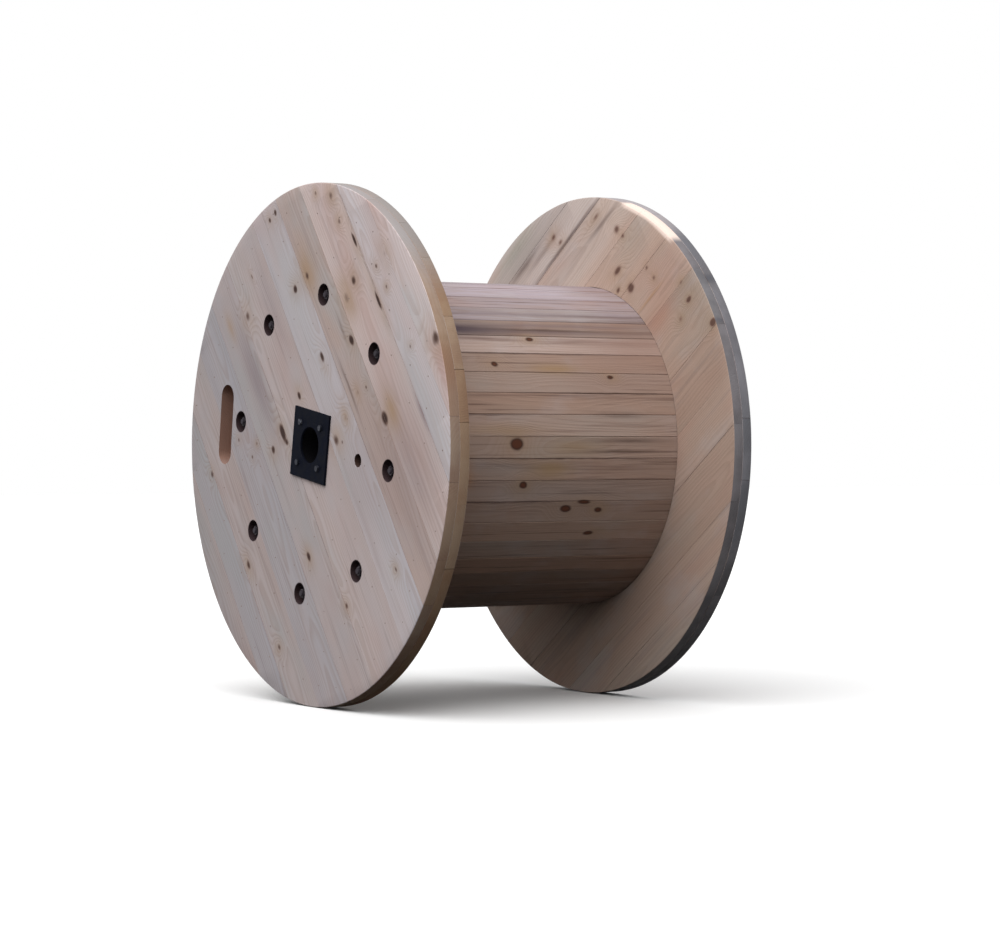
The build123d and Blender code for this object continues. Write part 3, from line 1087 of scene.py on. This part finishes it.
rods = {
    "radius": 0.010,
    "end": -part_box("tie_rod_1")[0][0],
    "threadLength": 0.036,
    "threadPitch": 0.0025,
    "threadDepth": 0.0009,
    "endChamfer": 0.002,
    "sides": 20,
}
washers = {"outside": 0.032, "inside": 0.0108, "thickness": 0.005, "chamfer": 0.0008, "sides": 36}
hexagons = {
    "flatShare": 0.96, "cornerShare": 1.02, "chamfer": math.radians(30), "overcut": 0.001, "sides": 36,
}
nuts = {
    "acrossFlats": 0.030, "height": 0.016, "hole": 0.0101, "flare": 0.0012, "overcut": 0.002, "sides": 24,
}
plate = {
    "side": 0.240,
    "thickness": 0.008,
    "bore": mounts["spindle_bore_left"]["dims"]["r_mm"] / 1000,
    "boreFlare": 0.001,
    "boreSides": 72,
    "edgeRounding": 0.0012,
    "screwSpacing": 0.140,
}
screws = {
    "acrossFlats": 0.019,
    "headHeight": 0.008,
    "shank": ((0.0018, -0.044), (0.006, -0.038), (0.006, -0.0002)),  # radius, height from under the head
    "sides": 16,
}
nails = {
    # radius, height from the wood's face
    "profile": ((0.00156, -0.004), (0.0026, -0.001), (0.0026, 0.00016), (0.00182, 0.0004)),
    "sides": 10,
    "sink": 0.0004,
    "inset": 0.27,           # share of a board's width from its middle
    "fromHole": 0.012,
    "fromRim": 0.03,
    "plateShare": 0.72,      # share of the plate's side that stays clear of nails
}


def scatterTree():
    inputs = {"places": "Geometry", "part": "Object", "spin": "Float", "sink": "Float", "seed": "Int",
              "finish": "Material"}
    tree, given = nodeGroup("atPlaces", "GeometryNodeTree", inputs, {"geometry": "Geometry"})
    part = wire(tree, "GeometryNodeObjectInfo", {"Object": given["part"], "As Instance": True}, "Geometry")
    down = drawn(given["seed"] + 1, 0.0, given["sink"]) * -1.0
    lowered = wire(tree, "GeometryNodeSetPosition", {"Geometry": given["places"], "Offset": vector(z=down)})
    return copies(lowered, part, drawn(given["seed"], 0.0, given["spin"]), given["finish"])


atPlaces = scatterTree()


def fit(name, shape, places, finish, turn, seed, *nodes, smooth, spin=math.pi, sink=0.0):
    # copies one part to all its places, then turns the set to its own end of the drum
    part = asObject("part", shape)
    start = bpy.data.meshes.new(name)
    start.from_pydata([tuple(place) for place in places], [], [])
    values = {"part": part, "spin": spin, "sink": sink, "seed": seed, "finish": finish}
    piece = grown(name, atPlaces, values, start)
    bpy.data.objects.remove(part)
    piece.data.transform(drumToRow @ turn)
    finished(piece, "rod_steel", *nodes, smooth=smooth)


def hexagon(acrossFlats, bottom, top, chamferBottom):
    # a hexagonal prism whose corners are turned off
    corner = acrossFlats / math.sqrt(3)
    angles = [math.pi / 3 * step for step in range(6)]
    outline = [(corner * math.cos(angle), corner * math.sin(angle)) for angle in angles]
    body = asObject("hexagon", prism(outline, bottom, top))
    flat, reach = acrossFlats / 2 * hexagons["flatShare"], corner * hexagons["cornerShare"]
    drop = (reach - flat) * math.tan(hexagons["chamfer"])
    foot = [(reach, bottom - hexagons["overcut"])]
    if chamferBottom:
        foot = [(flat, bottom), (reach, bottom + drop)]
    carve(body, turned(foot + [(reach, top - drop), (flat, top)], hexagons["sides"]), "INTERSECT")
    return body


def nutShape():
    low = drum["outerFace"] - holes["recessDepth"] + washers["thickness"]
    high = low + nuts["height"]
    hole, flare, over = nuts["hole"], nuts["flare"], nuts["overcut"]
    body = hexagon(nuts["acrossFlats"], low, high, True)
    profile = [(hole + flare + over, low - over), (hole, low + flare), (hole, high - flare),
               (hole + flare + over, high + over)]
    carve(body, turned(profile, nuts["sides"]), "DIFFERENCE")
    return asShape(body)


def washerShape():
    low = drum["outerFace"] - holes["recessDepth"]
    high = low + washers["thickness"]
    inside, outside, cut = washers["inside"], washers["outside"], washers["chamfer"]
    profile = [(inside, low), (outside - cut, low), (outside, low + cut), (outside, high - cut),
               (outside - cut, high), (inside + cut, high), (inside, high - cut)]
    return turned(profile, washers["sides"], loop=True)


def rodShape():
    radius, pitch, top = rods["radius"], rods["threadPitch"], rods["end"] - rods["endChamfer"]
    profile = [(radius - rods["endChamfer"], rods["end"])]
    turns = int(rods["threadLength"] / pitch)
    for number in range(turns):
        height = top - number * pitch
        profile += [(radius, height), (radius - rods["threadDepth"], height - pitch / 2)]
    profile.append((radius, top - turns * pitch))
    return turned([(radius, -height) for radius, height in profile] + profile[::-1], rods["sides"])


def screwShape():
    seat = drum["outerFace"] + plate["thickness"]
    head = asShape(hexagon(screws["acrossFlats"], seat, seat + screws["headHeight"], False))
    shank = [(radius, seat + height) for radius, height in screws["shank"]]
    return joined([head, turned(shank, screws["sides"])])


def nailShape():
    profile = [(radius, drum["outerFace"] + height) for radius, height in nails["profile"]]
    return turned(profile, nails["sides"])


def centrePlate(end, turn):
    half, bore, flare, over = plate["side"] / 2, plate["bore"], plate["boreFlare"], boards["overcut"]
    low, high = drum["outerFace"], drum["outerFace"] + plate["thickness"]
    corners = [(half, half), (-half, half), (-half, -half), (half, -half)]
    body = asObject(end + "CentrePlate", prism(corners, low, high))
    ease = body.modifiers.new("ease", "BEVEL")
    ease.width = plate["edgeRounding"]
    ease.segments = 2
    settle(body)
    profile = [(bore, low - over), (bore, high - flare), (bore + flare + over, high + over)]
    carve(body, turned(profile, plate["boreSides"]), "DIFFERENCE")
    placed(body.data, blackPaint, turn)
    finished(body, "plate_steel", end + "_centre_plate")


def nailPlaces():
    # two nails where a board of one ply crosses a board of the other, clear of every hole
    acrossOuter = boardAxes(drum["outerBoardAngle"])[1]
    acrossInner = boardAxes(drum["innerBoardAngle"])[1]
    room = nails["fromHole"]
    clear = [(place, holes["recess"] + room) for place in rodPlaces]
    clear += [(drivePlace, holes["drivePin"] + room), (slotMiddle, holes["slotLength"] / 2 + room),
              (Vector(), plate["side"] * nails["plateShare"])]
    places = []
    for lowOuter, highOuter in outerSpans:
        for lowInner, highInner in innerSpans:
            for way in (-nails["inset"], nails["inset"]):
                outer = (lowOuter + highOuter) / 2 + way * (highOuter - lowOuter)
                inner = (lowInner + highInner) / 2 - way * (highInner - lowInner)
                place = acrossOuter * outer + acrossInner * inner
                onWood = place.length <= drum["radius"] - nails["fromRim"]
                if onWood and all((place - other).length > reach for other, reach in clear):
                    places.append(place)
    return places


halfSpacing = plate["screwSpacing"] / 2
screwPlaces = [Vector((x, y, 0)) for x in (-halfSpacing, halfSpacing) for y in (-halfSpacing, halfSpacing)]
nailSpots = nailPlaces()
for end, turn, seed in (("left", Matrix.Identity(4), 1), ("right", endForEnd, 20)):
    fit(end + "Washers", washerShape(), rodPlaces, darkZinc, turn, seed, end + "_washers", smooth=30)
    fit(end + "Nuts", nutShape(), rodPlaces, darkZinc, turn, seed + 1, end + "_nuts", smooth=25)
    centrePlate(end, turn)
    fit(end + "PlateScrews", screwShape(), screwPlaces, screwZinc, turn, seed + 2, end + "_plate_screws",
        smooth=25)
    fit(end + "Nails", nailShape(), nailSpots, nailSteel, turn, seed + 3, smooth=35, sink=nails["sink"])
    print(end, "end fitted,", len(nailSpots), "nails")
rodNodes = ["tie_rod_%d" % (number + 1) for number in range(holes["rodCount"])]
fit("tieRods", rodShape(), rodPlaces, rodZinc, Matrix.Identity(4), 1, *rodNodes, smooth=30, spin=0.0)
print("tie rods in place")


# Floor, light and camera

studio = {
    "floorHalf": 40.0,
    "floorSeen": (246, 246, 246),
    "floorBounce": (30, 27, 25),
    "white": (1, 1, 1, 1),
    "skyZenith": 1.05,
    "skyHorizon": 0.35,
    "keyStrength": 2.2,
    "keyAngle": math.radians(70),
    "keyHeading": math.radians(-62),
    "keyHeight": math.radians(48),
}
view = {
    "location": (-5.694, -9.052, 0.901),
    "heading": math.radians(-32.92),
    "downward": math.radians(0.42),
    "lens": 108.7,
    "sensor": 36.0,
}


def twoWays(tree, lit, seen, end):
    # what lights the drum differs from what is seen directly or in a shine
    rays = ("Is Camera Ray", "Is Glossy Ray", "Is Transmission Ray")
    direct, shine, through = wire(tree, "ShaderNodeLightPath", take=rays)
    share = maths("MAXIMUM", maths("MAXIMUM", direct, shine), through)
    wire(tree, end, {"Surface": wire(tree, "ShaderNodeMixShader", {0: share, 1: lit, 2: seen})})


def floor():
    material = newMaterial("studioFloor")
    tree = material.node_tree
    tree.nodes.clear()
    pale = wire(tree, "ShaderNodeBsdfDiffuse", {"Color": shade(*studio["floorSeen"])})
    bounce = wire(tree, "ShaderNodeBsdfDiffuse", {"Color": shade(*studio["floorBounce"])})
    twoWays(tree, bounce, pale, "ShaderNodeOutputMaterial")
    half = studio["floorHalf"]
    corners = [(-half, -half, 0), (half, -half, 0), (half, half, 0), (-half, half, 0)]
    mesh = bpy.data.meshes.new("studioFloor")
    mesh.from_pydata(corners, [], [(0, 1, 2, 3)])
    mesh.materials.append(material)
    added("studioFloor", mesh)


def light():
    world = bpy.data.worlds.new("studioSky")
    world.use_nodes = True
    tree = world.node_tree
    tree.nodes.clear()
    # an overcast sky, brightest overhead
    upward = maths("MAXIMUM", split(wire(tree, "ShaderNodeTexCoord", take="Generated"))[2], 0.0)
    strength = upward * (studio["skyZenith"] - studio["skyHorizon"]) + studio["skyHorizon"]
    sky = wire(tree, "ShaderNodeBackground", {"Color": studio["white"], "Strength": strength})
    backdrop = wire(tree, "ShaderNodeBackground", {"Color": studio["white"], "Strength": 1.0})
    twoWays(tree, sky, backdrop, "ShaderNodeOutputWorld")
    scene.world = world
    lamp = bpy.data.lights.new("softKey", "SUN")
    lamp.energy = studio["keyStrength"]
    lamp.angle = studio["keyAngle"]
    added("softKey", lamp).rotation_euler = (math.pi / 2 - studio["keyHeight"], 0, studio["keyHeading"])


def camera():
    lens = bpy.data.cameras.new("photoView")
    lens.lens = view["lens"]
    lens.sensor_width = view["sensor"]
    lens.sensor_fit = "HORIZONTAL"
    made = added("photoView", lens)
    made.location = view["location"]
    made.rotation_euler = (math.pi / 2 - view["downward"], 0, view["heading"])
    scene.camera = made


floor()
light()
camera()
print("studio ready")
